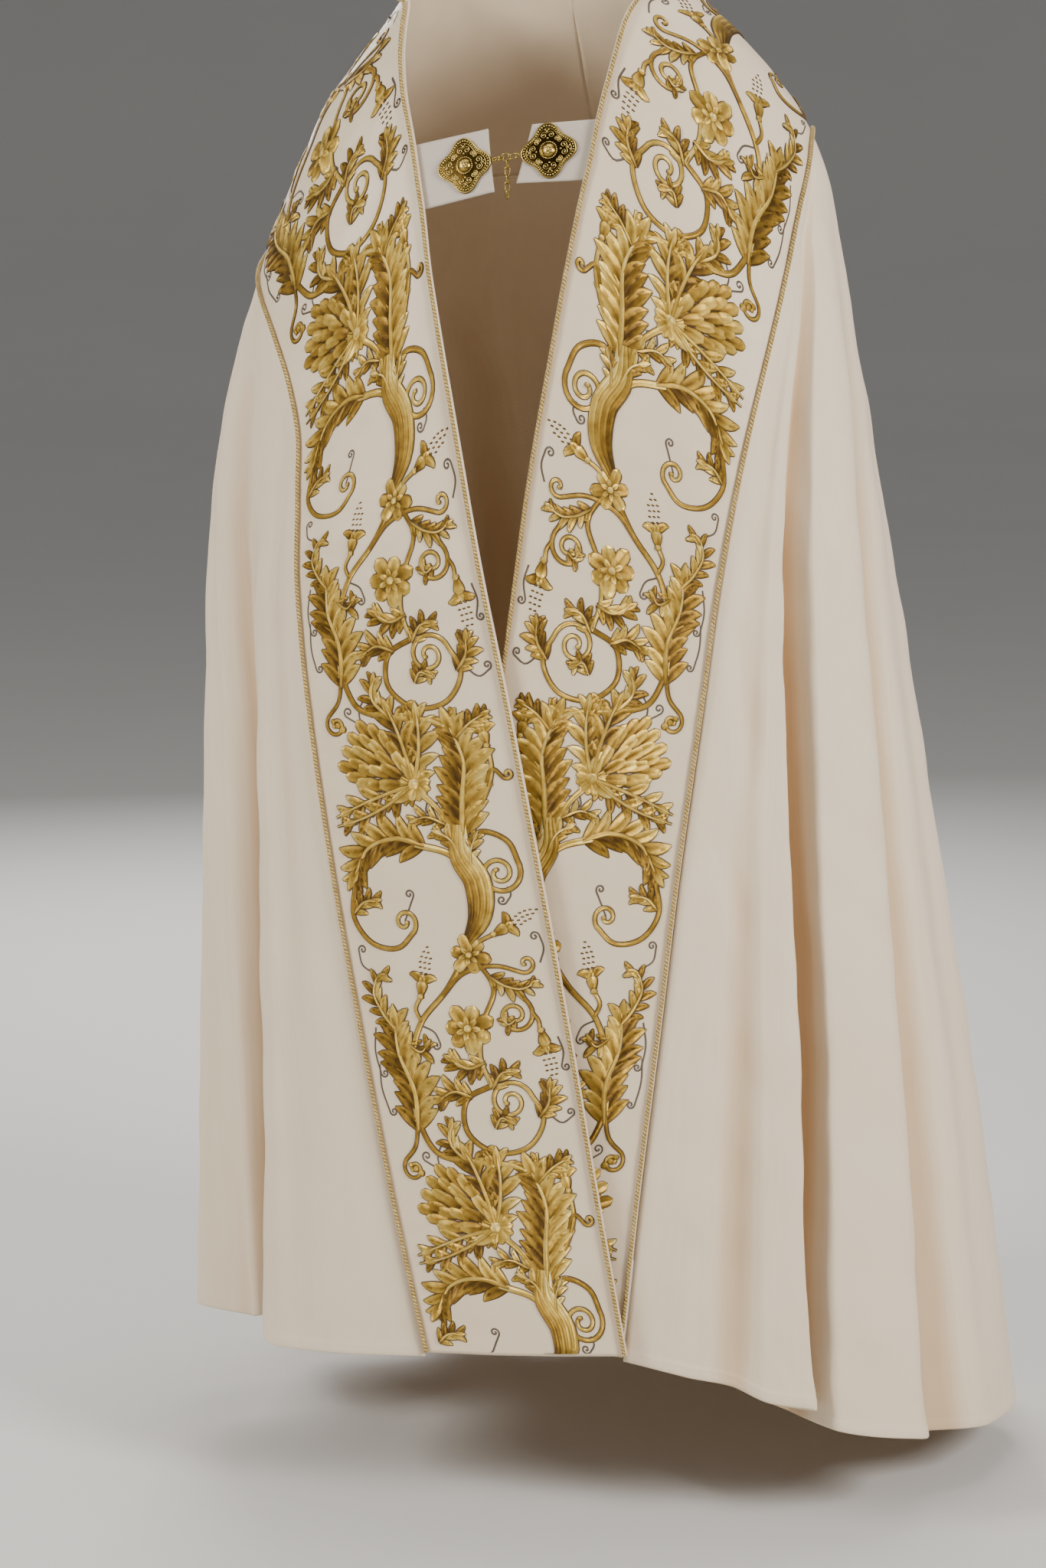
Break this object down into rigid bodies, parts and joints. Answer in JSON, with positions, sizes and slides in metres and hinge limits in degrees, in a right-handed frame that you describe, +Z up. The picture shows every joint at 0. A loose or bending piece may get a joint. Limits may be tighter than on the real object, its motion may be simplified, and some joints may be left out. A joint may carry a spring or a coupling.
{
  "type": "cope",
  "caption": "Ivory half-circle cope in its worn form, with embroidered front bands, gold piping and a filigree breast clasp joined by rings.",
  "frame": {"origin": "middle of the neck base, at shoulder height, where the wearer's neck and shoulders hold the cope", "axes": "+Z up, -Y towards the front opening, +X towards the wearer's left"},
  "size_m": [0.9155, 0.7817, 1.5558],
  "materials": {
    "ivory_wool": "matte fine wool with a soft sheen",
    "ivory_satin": "satin with gold embroidery",
    "gold_cord": "twisted gold cord",
    "greige_satin": "satin",
    "antique_gold": "antique gold filigree"
  },
  "bodies": {
    "root": {"mantle": "ivory_wool", "orphrey_right": "ivory_satin", "orphrey_left": "ivory_satin", "piping_right_inner": "gold_cord", "piping_right_outer": "gold_cord", "piping_left_inner": "gold_cord", "piping_left_outer": "gold_cord", "tab_right": "greige_satin", "tab_left": "greige_satin", "plate_right": "antique_gold", "plate_left": "antique_gold", "eye_right": "antique_gold", "link_1": "antique_gold", "link_2": "antique_gold", "ring_right": "antique_gold", "ring_left": "antique_gold", "eye_left": "antique_gold"},
    "chain_tail": {"tail_link_1": "antique_gold", "tail_link_2": "antique_gold", "tail_link_3": "antique_gold", "tail_link_4": "antique_gold", "tail_link_5": "antique_gold"}
  },
  "joints": [
    {"name": "tail_swing", "type": "hinge", "parent": "root", "child": "chain_tail", "pos_m": [0.01309, -0.12263, -0.10765], "axis": [1, 0, 0], "range_deg": [-75, 15]}
  ]
}
